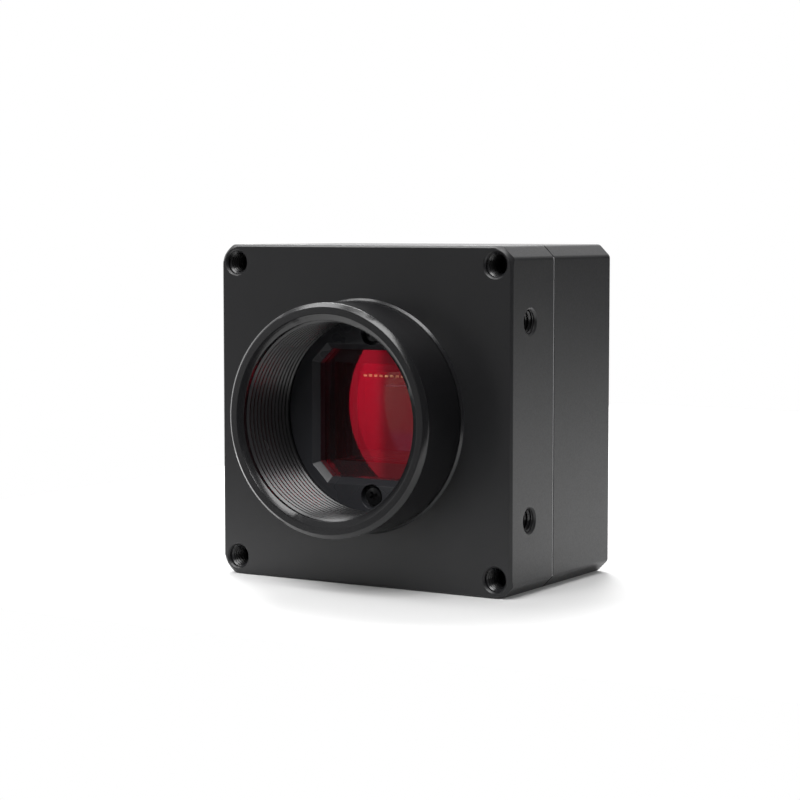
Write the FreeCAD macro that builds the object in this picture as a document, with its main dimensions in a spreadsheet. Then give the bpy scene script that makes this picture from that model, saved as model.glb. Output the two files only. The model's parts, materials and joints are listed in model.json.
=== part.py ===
"""Machine vision camera with a C-mount ring, as a parametric document (millimetres).

The origin is the centre of the lens mount's front plane. The optical axis is Y, the lens
side is -Y and up is +Z. Every piece has its own origin on the optical axis, at its own front
plane, and its Placement puts it in depth.
"""
import FreeCAD, Part
import math
import os
import Sketcher

doc = FreeCAD.newDocument("camera")

# ---------------------------------------------------------------- driving sizes
sizes = doc.addObject("Spreadsheet::Sheet", "sizes")
driving = [
    # case
    ("body_width", 44.0),
    ("rear_depth", 16.15),
    ("corner_cut", 1.55),
    ("corner_blend", 0.8),
    ("edge_break", 0.3),
    ("seal_thick", 0.25),
    ("seal_inset", 0.08),
    ("wall_side", 2.2),
    ("wall_back", 2.2),
    ("column_size", 6.4),
    ("slip", 0.05),
    # lens mount ring
    ("mount_height", 8.65),
    ("mount_wall", 2.2),
    ("mount_bevel", 0.55),
    ("thread_radius", 12.7),
    ("lead_in_wide", 0.8),
    ("lead_in_deep", 0.45),
    ("mouth_break", 0.15),
    # filter and its retainer
    ("retainer_lap", 0.7),
    ("retainer_thick", 1.9),
    ("window_size", 16.8),
    ("window_corner", 1.9),
    ("window_bevel", 0.8),
    ("recess_inset", 2.25),
    ("recess_radius", 1.6),
    ("recess_depth", 1.0),
    ("filter_lap", 0.7),
    ("filter_corner", 1.4),
    ("filter_thick", 1.0),
    ("filter_seal_thick", 0.4),
    ("web_thick", 1.2),
    # image sensor; the focal distance is that of the C mount, from the ring's front to the die
    ("focal_distance", 17.526),
    ("die_width", 12.4),
    ("die_height", 10.4),
    ("die_thick", 0.5),
    ("die_recess", 0.876),
    ("well_margin", 1.2),
    ("cover_lap", 1.4),
    ("cover_thick", 0.7),
    ("package_rim", 1.0),
    ("package_thick", 2.6),
    ("sensor_seal_thick", 0.4),
    ("pad_count", 13),
    ("pad_pitch", 0.825),
    ("pad_width", 0.5),
    ("pad_height", 0.3),
    ("pad_thick", 0.06),
    ("pad_margin", 0.55),
    # tapped holes and screws
    ("tapped_radius", 1.5),
    ("tapped_mouth", 3.5),
    ("corner_hole_inset", 2.4),
    ("corner_hole_depth", 5.0),
    ("side_hole_spacing", 25.0),
    ("side_hole_station", 4.75),
    ("side_hole_depth", 4.2),
    ("case_screw_inset", 3.4),
    ("case_screw_radius", 1.2),
    ("case_screw_bite", 3.8),
    ("case_head_radius", 2.2),
    ("case_head_height", 2.4),
    ("case_head_sink", 0.3),
    ("case_head_socket", 2.0),
    ("small_screw_radius", 0.75),
    ("small_head_radius", 1.3),
    ("small_head_height", 0.6),
    ("small_screw_length", 4.4),
    # boards
    ("board_gap", 0.2),
    ("board_edge", 0.6),
    ("board_sink", 0.4),
    ("sensor_board_thick", 1.0),
    ("main_board_thick", 1.2),
    ("socket_board_thick", 1.0),
    ("socket_board_top", 0.5),
    ("spacer_inset", 2.2),
    ("spacer_flats", 4.0),
    ("spacer_bore", 0.8),
    ("stud_radius", 0.95),
    ("stud_length", 3.4),
    ("lower_spacer", 3.6),
    ("upper_spacer", 3.0),
    ("screw_head_radius", 1.8),
    ("screw_head_height", 1.2),
    ("screw_length", 2.6),
    ("mezzanine_width", 16.0),
    ("mezzanine_height", 4.0),
    ("mezzanine_drop", 0.8),
    ("header_width", 18.0),
    ("header_height", 2.8),
    ("header_inset", 3.0),
    ("processor_size", 14.0),
    ("processor_thick", 1.6),
    ("boss_clearance", 0.8),
    ("boss_margin", 0.4),
    ("thermal_thick", 1.0),
    ("memory_width", 7.5),
    ("memory_height", 10.0),
    ("memory_thick", 1.0),
    ("memory_gap", 3.0),
    ("inductor_size", 4.0),
    ("inductor_thick", 2.0),
    ("inductor_gap", 1.2),
    # sockets on the back
    ("usb_across", 6.6),
    ("usb_rise", 4.9),
    ("usb_wide", 7.4),
    ("usb_narrow", 4.7),
    ("usb_height", 2.4),
    ("usb_waist", 0.9),
    ("usb_nick", 0.6),
    ("usb_taper", 0.6),
    ("usb_sheet", 0.3),
    ("usb_floor", 1.0),
    ("usb_tongue_gap", 0.55),
    ("usb_tongue_sink", 0.7),
    ("usb_lock_spacing", 16.6),
    ("usb_lock_radius", 1.0),
    ("io_inset", 2.8),
    ("io_rise", 6.0),
    ("io_radius", 4.3),
    ("io_wall", 0.8),
    ("io_reach", 2.6),
    ("io_flange_lip", 0.8),
    ("io_flange_thick", 1.0),
    ("io_insert_sink", 3.4),
    ("io_nut_flats", 10.4),
    ("io_nut_thick", 1.5),
    ("io_pin_count", 6),
    ("io_pin_circle", 1.9),
    ("io_pin_radius", 0.3),
    ("io_pin_length", 5.0),
    ("io_pin_show", 2.4),
    ("led_width", 1.6),
    ("led_height", 0.8),
    ("led_thick", 0.7),
    ("light_radius", 1.0),
    ("light_rise", 5.0),
    ("light_gap", 0.3),
]
for row, (alias, number) in enumerate(driving, start=1):
    sizes.set("A%d" % row, alias)
    sizes.set("B%d" % row, str(number))
    sizes.setAlias("B%d" % row, alias)
doc.recompute()


# ---------------------------------------------------------------- helpers
def named(text):
    """Turn {name} in a formula into a reference to the sheet's cell of that name."""
    return text.replace("{", "sizes.").replace("}", "")


def value(text):
    """The formula's present value as a plain number."""
    return float(sizes.evalExpression(named(text)))


def bind(target, prop, text):
    target.setExpression(prop, named(text))


def new_body(name, station, across="0", up="0"):
    """An empty body whose front plane stands at the given depth behind the mount's plane."""
    made = doc.addObject("PartDesign::Body", name)
    made.Label = name
    place(made, station, across, up)
    return made


def place(piece, station, across="0", up="0"):
    bind(piece, "Placement.Base.x", across)
    bind(piece, "Placement.Base.y", station)
    bind(piece, "Placement.Base.z", up)


def sketch_on(owner, name, depth="0", role="XZ_Plane"):
    """A sketch square to the optical axis, set back from the body's own front plane."""
    made = owner.newObject("Sketcher::SketchObject", name)
    plane = next(item for item in owner.Origin.OriginFeatures if item.Role == role)
    made.AttachmentSupport = [(plane, "")]
    made.MapMode = "FlatFace"
    sign = "-" if role == "XZ_Plane" else ""
    bind(made, "AttachmentOffset.Base.z", sign + "(" + depth + ")")
    return made


def locate(sketch, geometry, point, across, up):
    """Tie one point of a sketch to the origin with two named sizes, or to an axis where the size is 0."""
    for kind, text, axis in (("DistanceX", across, -2), ("DistanceY", up, -1)):
        if text == "0":
            sketch.addConstraint(Sketcher.Constraint("PointOnObject", geometry, point, axis))
            continue
        index = sketch.addConstraint(
            Sketcher.Constraint(kind, -1, 1, geometry, point, value(text)))
        tag = "%s_%d" % (kind, index)
        sketch.renameConstraint(index, tag)
        bind(sketch, "Constraints." + tag, text)


def circle(sketch, radius, across="0", up="0"):
    centre = FreeCAD.Vector(value(across), value(up), 0)
    geometry = sketch.addGeometry(Part.Circle(centre, FreeCAD.Vector(0, 0, 1), value(radius)))
    index = sketch.addConstraint(Sketcher.Constraint("Radius", geometry, value(radius)))
    tag = "radius_%d" % index
    sketch.renameConstraint(index, tag)
    bind(sketch, "Constraints." + tag, radius)
    locate(sketch, geometry, 3, across, up)


def outline(sketch, corners):
    """A closed outline of straight lines whose corners are pairs of formulas."""
    points = [FreeCAD.Vector(value(across), value(up), 0) for across, up in corners]
    first = sketch.GeometryCount
    count = len(points)
    for index in range(count):
        sketch.addGeometry(Part.LineSegment(points[index], points[(index + 1) % count]))
    for index in range(count):
        following = first + (index + 1) % count
        sketch.addConstraint(Sketcher.Constraint("Coincident", first + index, 2, following, 1))
        locate(sketch, first + index, 1, *corners[index])


def rectangle(sketch, width, height, across="0", up="0"):
    half_width, half_height = "(%s)/2" % width, "(%s)/2" % height
    outline(sketch, [("%s%s%s" % (across, sx, half_width), "%s%s%s" % (up, sz, half_height))
                     for sx, sz in (("-", "-"), ("+", "-"), ("+", "+"), ("-", "+"))])


def cut_square(sketch, width, corner):
    """A square with its four corners cut at 45 degrees."""
    far = "(%s)/2" % width
    near = "(%s-(%s))" % (far, corner)
    outline(sketch, [("-" + near, "-" + far), (near, "-" + far), (far, "-" + near), (far, near),
                     (near, far), ("-" + near, far), ("-" + far, near), ("-" + far, "-" + near)])


def pad(owner, sketch, length):
    """Add material from the sketch towards the back of the camera."""
    made = owner.newObject("PartDesign::Pad", sketch.Name + "_pad")
    made.Profile = sketch
    made.Reversed = True
    bind(made, "Length", length)
    sketch.Visibility = False
    doc.recompute()
    return made


def pocket(owner, sketch, length, forwards=False):
    """Cut from the sketch towards the back of the camera, or forwards, and make sure that it cuts."""
    before = owner.Shape.Volume
    made = owner.newObject("PartDesign::Pocket", sketch.Name + "_cut")
    made.Profile = sketch
    made.Reversed = forwards
    bind(made, "Length", length)
    doc.recompute()
    if not owner.Shape.Volume < before:
        raise ValueError(made.Name + " cuts nothing")
    return made


def revolve(owner, sketch):
    """Turn a profile, drawn as depth and radius, about the optical axis."""
    made = owner.newObject("PartDesign::Revolution", sketch.Name + "_turned")
    made.Profile = sketch
    made.ReferenceAxis = (sketch, ["H_Axis"])
    made.Angle = 360
    doc.recompute()
    return made


def dress(owner, kind, chosen, size):
    """Chamfer or fillet the edges of the body's last feature that pass the test."""
    base = owner.Tip
    names = ["Edge%d" % (index + 1) for index, edge in enumerate(base.Shape.Edges) if chosen(edge)]
    made = owner.newObject("PartDesign::" + kind, "%s_%s" % (owner.Name, kind.lower()))
    made.Base = (base, names)
    bind(made, "Radius" if kind == "Fillet" else "Size", size)
    doc.recompute()
    return made


def tapped_holes(owner, sketch, depth, radius, mouth="0"):
    """Blind drilled holes, each with a countersunk mouth where one is given."""
    doc.recompute()
    made = owner.newObject("PartDesign::Hole", sketch.Name + "_drilled")
    made.Profile = sketch
    doc.recompute()
    made.DepthType = "Dimension"
    made.DrillPoint = "Angled"
    made.DrillPointAngle = 118
    bind(made, "Diameter", "2*(%s)" % radius)
    bind(made, "Depth", depth)
    if mouth != "0":
        made.HoleCutType = "Countersink"
        made.HoleCutCountersinkAngle = 90
        bind(made, "HoleCutDiameter", mouth)
    doc.recompute()
    return made


def along_depth(edge):
    first, last = (vertex.Point for vertex in (edge.Vertexes[0], edge.Vertexes[-1]))
    return math.hypot(first.x - last.x, first.z - last.z) < 1e-6 < abs(first.y - last.y)


def in_plane(edge, depth):
    return all(abs(vertex.Point.y - depth) < 1e-6 for vertex in edge.Vertexes)


def solid_block(name, width, height, thick, station, across="0", up="0"):
    """A plain rectangular piece, centred on the place that is given."""
    made = doc.addObject("Part::Box", name)
    made.Label = name
    bind(made, "Length", width)
    bind(made, "Width", thick)
    bind(made, "Height", height)
    place(made, station, "%s-(%s)/2" % (across, width), "%s-(%s)/2" % (up, height))
    return made


def rod(name, radius, length, station, across="0", up="0"):
    """A cylinder that runs back from the given depth."""
    made = doc.addObject("Part::Cylinder", name)
    bind(made, "Radius", radius)
    bind(made, "Height", length)
    made.Placement.Rotation = FreeCAD.Rotation(FreeCAD.Vector(1, 0, 0), -90)
    place(made, station, across, up)
    return made


def joined(name, members):
    made = doc.addObject("Part::MultiFuse", name)
    made.Shapes = members
    return made


def less(name, base, tool):
    made = doc.addObject("Part::Cut", name)
    made.Base = base
    made.Tool = tool
    return made


def group(name, members):
    """Separate solids that share one sub-part."""
    made = doc.addObject("Part::Compound", name)
    made.Label = name
    made.Links = members
    return made


# ---------------------------------------------------------------- places along the optical axis
# Everything hangs from the die: forwards to the retainer that the ring holds down, backwards to the boards.
face_at = "{mount_height}"
package_at = "({focal_distance}-{die_recess})"
cover_at = "(%s-{cover_thick})" % package_at
web_back_at = "(%s-{sensor_seal_thick})" % cover_at
ledge_at = "(%s-{web_thick})" % web_back_at
filter_seal_at = "(%s-{filter_seal_thick})" % ledge_at
filter_at = "(%s-{filter_thick})" % filter_seal_at
retainer_at = "(%s-{retainer_thick})" % filter_at
sensor_board_at = "(%s+{package_thick})" % package_at
lower_spacer_at = "(%s+{sensor_board_thick})" % sensor_board_at
main_board_at = "(%s+{lower_spacer})" % lower_spacer_at
upper_spacer_at = "(%s+{main_board_thick})" % main_board_at
socket_board_at = "(%s+{upper_spacer})" % upper_spacer_at
sockets_at = "(%s+{socket_board_thick})" % socket_board_at
thermal_at = "(%s+{processor_thick})" % upper_spacer_at
boss_at = "(%s+{thermal_thick})" % thermal_at
split_at = "(%s+{board_sink})" % sensor_board_at
rear_at = "(%s+{seal_thick})" % split_at
back_at = "(%s+{rear_depth})" % rear_at
wall_at = "(%s-{wall_back})" % back_at
front_depth = "(%s-%s)" % (split_at, face_at)
retainer_depth = "({retainer_thick}+{filter_thick})"
small_heads_at = "(%s+{recess_depth})" % retainer_at

# ---------------------------------------------------------------- sizes and places across the axis
mount_radius = "({thread_radius}+{mount_wall})"
retainer_radius = "({thread_radius}+{retainer_lap})"
recess_up = "({window_size}/2+{recess_inset})"
filter_size = "({window_size}+2*{filter_lap})"
well_width = "({die_width}+2*{well_margin})"
well_height = "({die_height}+2*{well_margin})"
cover_width = "(%s+2*{cover_lap})" % well_width
cover_height = "(%s+2*{cover_lap})" % well_height
package_width = "(%s+2*{package_rim})" % cover_width
package_height = "(%s+2*{package_rim})" % cover_height
hollow_half = "({body_width}/2-{wall_side})"
column_half = "({body_width}/2-{column_size})"
sensor_board_width = "(2*%s-2*{board_gap})" % column_half
main_half = "(%s-{board_edge})" % hollow_half
main_corner = "(2*(%s-%s+{board_gap}))" % (main_half, column_half)
corner_hole = "({body_width}/2-{corner_hole_inset})"
case_screw = "({body_width}/2-{case_screw_inset})"
spacer_out = "(%s-{spacer_inset})" % column_half
mezzanine_up = "(%s-{mezzanine_drop})" % spacer_out
header_down = "(%s-{header_inset})" % main_half
processor_up = "({socket_board_top}+{boss_clearance}+{boss_margin}+{processor_size}/2)"
usb_down = "(%s-{usb_rise})" % spacer_out
usb_half_span = "(({usb_wide}+{usb_waist}+{usb_narrow})/2)"
io_across = "(%s-{io_inset})" % spacer_out
io_down = "(%s-{io_rise})" % spacer_out
light_down = "(%s-{light_rise})" % usb_down

four_corners = [(sx, sz) for sx in ("-", "") for sz in ("-", "")]


def shell_block(owner, depth, front_break, back_break):
    """The square bar that both halves of the case are cut from, with its corners cut and blended."""
    bar = sketch_on(owner, owner.Name + "_bar")
    rectangle(bar, "{body_width}", "{body_width}")
    pad(owner, bar, depth)
    dress(owner, "Chamfer", along_depth, "{corner_cut}")
    dress(owner, "Fillet", along_depth, "{corner_blend}")
    ends = ([0.0] if front_break else []) + ([value(depth)] if back_break else [])
    dress(owner, "Chamfer", lambda edge: any(in_plane(edge, end) for end in ends), "{edge_break}")


def hollow_cross(sketch):
    """Inside outline of the case: a square less its four corners, which stay solid as columns."""
    far, near = hollow_half, column_half
    outline(sketch, [("-" + near, "-" + far), (near, "-" + far), (near, "-" + near),
                     (far, "-" + near), (far, near), (near, near),
                     (near, far), ("-" + near, far), ("-" + near, near),
                     ("-" + far, near), ("-" + far, "-" + near), ("-" + near, "-" + near)])


# ---------------------------------------------------------------- case
def front_housing():
    made = new_body("front_housing", face_at)
    shell_block(made, front_depth, True, False)

    # stepped bore from the front: ring seat, retainer seat, the filter's seal, window to the sensor
    ring_bore = sketch_on(made, "ring_bore")
    circle(ring_bore, mount_radius + "+{slip}")
    pocket(made, ring_bore, retainer_at + "-" + face_at)
    mouth = value(mount_radius + "+{slip}")
    dress(made, "Chamfer", lambda edge: in_plane(edge, 0) and len(edge.Vertexes) == 1
          and abs(edge.Curve.Radius - mouth) < 1e-6, "{mouth_break}")
    retainer_bore = sketch_on(made, "retainer_bore", retainer_at + "-" + face_at)
    circle(retainer_bore, retainer_radius + "+{slip}")
    pocket(made, retainer_bore, retainer_depth)
    seal_pocket = sketch_on(made, "seal_pocket", filter_seal_at + "-" + face_at)
    cut_square(seal_pocket, filter_size + "+2*{slip}", "{filter_corner}")
    pocket(made, seal_pocket, "{filter_seal_thick}")
    sensor_window = sketch_on(made, "sensor_window", ledge_at + "-" + face_at)
    rectangle(sensor_window, well_width, well_height)
    pocket(made, sensor_window, front_depth)

    # from the back: room for the sensor's package, and the seat of its board
    package_room = sketch_on(made, "package_room", web_back_at + "-" + face_at)
    rectangle(package_room, package_width + "+4*{board_gap}", package_height + "+4*{board_gap}")
    pocket(made, package_room, front_depth)
    board_seat = sketch_on(made, "board_seat", sensor_board_at + "-" + face_at)
    rectangle(board_seat, sensor_board_width + "+2*{board_gap}", sensor_board_width + "+2*{board_gap}")
    pocket(made, board_seat, front_depth)
    stud_holes = sketch_on(made, "stud_holes", sensor_board_at + "-" + face_at)
    case_threads = sketch_on(made, "case_threads", front_depth)
    for sx, sz in four_corners:
        circle(stud_holes, "{stud_radius}+{slip}", sx + spacer_out, sz + spacer_out)
        circle(case_threads, "{case_screw_radius}+{slip}", sx + case_screw, sz + case_screw)
    pocket(made, stud_holes, "{stud_length}", forwards=True)
    pocket(made, case_threads, "{case_screw_bite}+{slip}", forwards=True)

    # two tapped holes through the retainer's seat, for its screws
    small_threads = sketch_on(made, "small_threads", filter_seal_at + "-" + face_at)
    for sz in ("-", ""):
        circle(small_threads, "{small_screw_radius}+{slip}", "0", sz + recess_up)
    pocket(made, small_threads, "%s+{small_screw_length}-%s+4*{slip}" % (small_heads_at, filter_seal_at))

    # tapped holes that a bracket is fastened to: one in each front corner, a pair in each side
    corner_holes = sketch_on(made, "corner_holes")
    for sx, sz in four_corners:
        circle(corner_holes, "{tapped_radius}", sx + corner_hole, sz + corner_hole)
    tapped_holes(made, corner_holes, "{corner_hole_depth}", "{tapped_radius}", "{tapped_mouth}")
    side_holes = sketch_on(made, "side_holes", "{body_width}/2", "YZ_Plane")
    for sz in ("-", ""):
        circle(side_holes, "{tapped_radius}", "{side_hole_station}", sz + "{side_hole_spacing}/2")
    drilled = tapped_holes(made, side_holes, "{side_hole_depth}", "{tapped_radius}", "{tapped_mouth}")
    all_sides = made.newObject("PartDesign::PolarPattern", "all_sides")
    all_sides.Originals = [drilled]
    axis = next(item for item in made.Origin.OriginFeatures if item.Role == "Y_Axis")
    all_sides.Axis = (axis, [""])
    all_sides.Angle = 360
    all_sides.Occurrences = 4
    made.Tip = all_sides
    return made


def rear_housing():
    made = new_body("rear_housing", rear_at)
    shell_block(made, "{rear_depth}", False, True)

    # the inside is a cross: the four solid corners carry the case screws
    hollow = sketch_on(made, "hollow")
    hollow_cross(hollow)
    pocket(made, hollow, "{rear_depth}-{wall_back}")

    # a boss on the back wall reaches the processor's thermal pad
    boss = sketch_on(made, "boss", boss_at + "-" + rear_at)
    boss_size = "{processor_size}+2*{boss_margin}"
    rectangle(boss, boss_size, boss_size, "0", processor_up)
    pad(made, boss, wall_at + "-" + boss_at)

    case_ways = sketch_on(made, "case_ways")
    case_heads = sketch_on(made, "case_heads", "{rear_depth}-{case_head_height}-{case_head_sink}")
    for sx, sz in four_corners:
        spot = (sx + case_screw, sz + case_screw)
        circle(case_ways, "{case_screw_radius}+2*{slip}", *spot)
        circle(case_heads, "{case_head_radius}+2*{slip}", *spot)
    pocket(made, case_ways, "{rear_depth}")
    pocket(made, case_heads, "{case_head_height}+{case_head_sink}")

    # cut-outs for the sockets, the light pipe and the lock screws of the data plug
    cut_outs = sketch_on(made, "cut_outs", "{rear_depth}-{wall_back}")
    outline(cut_outs, usb_outline("{slip}", "-{usb_across}", "-" + usb_down))
    circle(cut_outs, "{io_radius}+{slip}", io_across, "-" + io_down)
    circle(cut_outs, "{light_radius}+{slip}", "-{usb_across}", "-" + light_down)
    for sx in ("-", "+"):
        circle(cut_outs, "{usb_lock_radius}", "-{usb_across}%s{usb_lock_spacing}/2" % sx, "-" + usb_down)
    pocket(made, cut_outs, "{wall_back}")
    return made


def housing_gasket():
    made = new_body("housing_gasket", split_at)
    flat = sketch_on(made, "gasket_flat")
    cut_square(flat, "{body_width}-2*{seal_inset}", "{corner_cut}")
    hollow_cross(flat)
    for sx, sz in four_corners:
        circle(flat, "{case_screw_radius}+2*{slip}", sx + case_screw, sz + case_screw)
    pad(made, flat, "{seal_thick}")
    return made


def housing_screws():
    """Four socket head screws, from the back into the front block."""
    heads_at = back_at + "-{case_head_height}-{case_head_sink}"
    reach = "(%s-%s+{case_screw_bite})" % (heads_at, split_at)
    screws = []
    for number, (sx, sz) in enumerate(four_corners, start=1):
        spot = (sx + case_screw, sz + case_screw)
        shank = rod("case_shank%d" % number, "{case_screw_radius}", reach, heads_at + "-" + reach, *spot)
        head = rod("case_head%d" % number, "{case_head_radius}", "{case_head_height}", heads_at, *spot)
        socket = hexagon("case_socket%d" % number, "{case_head_socket}", "{case_head_height}/2",
                         heads_at + "+{case_head_height}/2", *spot)
        blank = joined("case_blank%d" % number, [shank, head])
        screws.append(less("case_screw%d" % number, blank, socket))
    return group("housing_screws", screws)


def hexagon(name, flats, length, station, across, up):
    """A six-sided prism along the depth, given by its width across flats."""
    made = doc.addObject("Part::Prism", name)
    made.Polygon = 6
    bind(made, "Circumradius", "(%s)/sqrt(3)" % flats)
    bind(made, "Height", length)
    made.Placement.Rotation = FreeCAD.Rotation(FreeCAD.Vector(1, 0, 0), -90)
    place(made, station, across, up)
    return made


# ---------------------------------------------------------------- lens mount and filter
def lens_mount_ring():
    made = new_body("lens_mount_ring", "0")
    profile = sketch_on(made, "ring_profile", "0", "YZ_Plane")
    outline(profile, [
        ("0", "{thread_radius}+{lead_in_wide}"),
        ("0", mount_radius + "-{mount_bevel}"),
        ("{mount_bevel}", mount_radius),
        (retainer_at, mount_radius),
        (retainer_at, "{thread_radius}"),
        ("{lead_in_deep}", "{thread_radius}"),
    ])
    revolve(made, profile)
    return made


def filter_retainer():
    """A cap that the ring holds down; the filter lies in its back, behind a window with cut corners."""
    made = new_body("filter_retainer", retainer_at)
    disc = sketch_on(made, "retainer_disc")
    circle(disc, retainer_radius)
    pad(made, disc, retainer_depth)
    window = sketch_on(made, "window")
    cut_square(window, "{window_size}", "{window_corner}")
    pocket(made, window, retainer_depth)
    dress(made, "Chamfer", lambda edge: in_plane(edge, 0) and len(edge.Vertexes) == 2, "{window_bevel}")
    ways = sketch_on(made, "retainer_ways")
    recesses = sketch_on(made, "recesses")
    for sz in ("-", ""):
        circle(ways, "{small_screw_radius}+2*{slip}", "0", sz + recess_up)
        circle(recesses, "{recess_radius}", "0", sz + recess_up)
    pocket(made, ways, retainer_depth)
    pocket(made, recesses, "{recess_depth}")
    nest = sketch_on(made, "filter_nest", "{retainer_thick}")
    cut_square(nest, filter_size + "+2*{slip}", "{filter_corner}")
    pocket(made, nest, "{filter_thick}")
    return made


def retainer_screws():
    """Two small cross-recess screws; the recess is left to the finish."""
    screws = []
    for number, sz in enumerate(("-", ""), start=1):
        spot = ("0", sz + recess_up)
        head = rod("small_head%d" % number, "{small_head_radius}", "{small_head_height}",
                   small_heads_at + "-{small_head_height}", *spot)
        shank = rod("small_shank%d" % number, "{small_screw_radius}", "{small_screw_length}",
                    small_heads_at, *spot)
        screws.append(joined("small_screw%d" % number, [head, shank]))
    return group("retainer_screws", screws)


def filter_glass():
    made = new_body("filter_glass", filter_at)
    flat = sketch_on(made, "filter_flat")
    cut_square(flat, filter_size, "{filter_corner}")
    pad(made, flat, "{filter_thick}")
    return made


def filter_gasket():
    made = new_body("filter_gasket", filter_seal_at)
    flat = sketch_on(made, "filter_seal_flat")
    cut_square(flat, filter_size, "{filter_corner}")
    rectangle(flat, well_width + "+{board_gap}", well_height + "+{board_gap}")
    pad(made, flat, "{filter_seal_thick}")
    return made


# ---------------------------------------------------------------- image sensor
def sensor_gasket():
    """Foam frame that keeps dust out between the front block and the sensor's cover glass."""
    made = new_body("sensor_gasket", web_back_at)
    flat = sketch_on(made, "sensor_seal_flat")
    rectangle(flat, cover_width + "-{board_gap}", cover_height + "-{board_gap}")
    rectangle(flat, well_width + "+{board_gap}", well_height + "+{board_gap}")
    pad(made, flat, "{sensor_seal_thick}")
    return made


def sensor_cover_glass():
    return solid_block("sensor_cover_glass", cover_width, cover_height, "{cover_thick}", cover_at)


def sensor_package():
    """Ceramic carrier with a well that the die lies in."""
    made = new_body("sensor_package", package_at)
    block = sketch_on(made, "package_block")
    rectangle(block, package_width, package_height)
    pad(made, block, "{package_thick}")
    well = sketch_on(made, "package_well")
    rectangle(well, well_width, well_height)
    pocket(made, well, "{die_recess}+{die_thick}")
    return made


def sensor_die():
    return solid_block("sensor_die", "{die_width}", "{die_height}", "{die_thick}", "{focal_distance}")


def bond_pads():
    """Gold pads in a row along the top edge of the die."""
    count = int(value("{pad_count}"))
    pads = [solid_block("bond_pad%d" % (index + 1), "{pad_width}", "{pad_height}", "{pad_thick}",
                        "{focal_distance}-{pad_thick}",
                        "(%d-({pad_count}-1)/2)*{pad_pitch}" % index, "{die_height}/2-{pad_margin}")
            for index in range(count)]
    return group("bond_pads", pads)


# ---------------------------------------------------------------- boards
def sensor_board():
    made = new_body("sensor_board", sensor_board_at)
    flat = sketch_on(made, "sensor_board_flat")
    rectangle(flat, sensor_board_width, sensor_board_width)
    for sx, sz in four_corners:
        circle(flat, "{stud_radius}+{slip}", sx + spacer_out, sz + spacer_out)
    pad(made, flat, "{sensor_board_thick}")
    return made


def main_board():
    made = new_body("main_board", main_board_at)
    flat = sketch_on(made, "main_board_flat")
    cut_square(flat, "2*" + main_half, main_corner)
    for sx, sz in four_corners:
        circle(flat, "{spacer_bore}+{slip}", sx + spacer_out, sz + spacer_out)
    pad(made, flat, "{main_board_thick}")
    return made


def interface_board():
    """The half board behind the lower part of the main board, which carries the sockets."""
    made = new_body("interface_board", socket_board_at)
    flat = sketch_on(made, "interface_board_flat")
    far = main_half
    near = "(%s-%s)" % (main_half, main_corner)
    outline(flat, [("-" + near, "-" + far), (near, "-" + far), (far, "-" + near),
                   (far, "{socket_board_top}"), ("-" + far, "{socket_board_top}"), ("-" + far, "-" + near)])
    for sx in ("-", ""):
        circle(flat, "{spacer_bore}+{slip}", sx + spacer_out, "-" + spacer_out)
    pad(made, flat, "{socket_board_thick}")
    return made


def spacer(name, length, station, across, up, stud_radius, stud_length):
    """A hexagonal spacer with a stud at its front and a tapped bore in its back."""
    sleeve = hexagon(name + "_sleeve", "{spacer_flats}", length, station, across, up)
    stud = rod(name + "_stud", stud_radius, stud_length, "%s-%s" % (station, stud_length), across, up)
    bore = rod(name + "_bore", "{spacer_bore}", length, "%s+{board_gap}" % station, across, up)
    return less(name, joined(name + "_blank", [sleeve, stud]), bore)


def board_standoffs():
    """Four spacers between the sensor board and the main board; their studs hold the sensor board."""
    return group("board_standoffs", [
        spacer("spacer%d" % number, "{lower_spacer}", lower_spacer_at, sx + spacer_out, sz + spacer_out,
               "{stud_radius}", "({stud_length}+{sensor_board_thick}-{slip})")
        for number, (sx, sz) in enumerate(four_corners, start=1)])


def interface_standoffs():
    """Two spacers that carry the interface board; their studs hold the lower edge of the main board."""
    return group("interface_standoffs", [
        spacer("upper_spacer%d" % number, "{upper_spacer}", upper_spacer_at, sx + spacer_out,
               "-" + spacer_out, "({spacer_bore}-{slip})", "({main_board_thick}+{lower_spacer}/2)")
        for number, sx in enumerate(("-", ""), start=1)])


def board_screws():
    """Two screws hold the top of the main board, two the interface board."""
    screws = []
    for number, (seat, sx, sz) in enumerate([(upper_spacer_at, "-", ""), (upper_spacer_at, "", ""),
                                             (sockets_at, "-", "-"), (sockets_at, "", "-")], start=1):
        spot = (sx + spacer_out, sz + spacer_out)
        head = rod("board_head%d" % number, "{screw_head_radius}", "{screw_head_height}", seat, *spot)
        shank = rod("board_shank%d" % number, "{spacer_bore}-{slip}", "{screw_length}",
                    seat + "-{screw_length}", *spot)
        screws.append(joined("board_screw%d" % number, [head, shank]))
    return group("board_screws", screws)


def mezzanine_connector():
    return solid_block("mezzanine_connector", "{mezzanine_width}", "{mezzanine_height}", "{lower_spacer}",
                       lower_spacer_at, "0", mezzanine_up)


def header_connector():
    return solid_block("header_connector", "{header_width}", "{header_height}", "{upper_spacer}",
                       upper_spacer_at, "0", "-" + header_down)


def processor_chip():
    return solid_block("processor_chip", "{processor_size}", "{processor_size}", "{processor_thick}",
                       upper_spacer_at, "0", processor_up)


def thermal_pad():
    return solid_block("thermal_pad", "{processor_size}", "{processor_size}", "{thermal_thick}",
                       thermal_at, "0", processor_up)


def memory_chips():
    return group("memory_chips", [
        solid_block("memory_chip%d" % number, "{memory_width}", "{memory_height}", "{memory_thick}",
                    main_board_at + "-{memory_thick}", sx + "({memory_width}+{memory_gap})/2", "0")
        for number, sx in enumerate(("-", ""), start=1)])


def power_inductors():
    return group("power_inductors", [
        solid_block("inductor%d" % (index + 1), "{inductor_size}", "{inductor_size}", "{inductor_thick}",
                    upper_spacer_at, "(%d)*({inductor_size}+{inductor_gap})" % (index - 1), "-" + usb_down)
        for index in range(3)])


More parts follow.
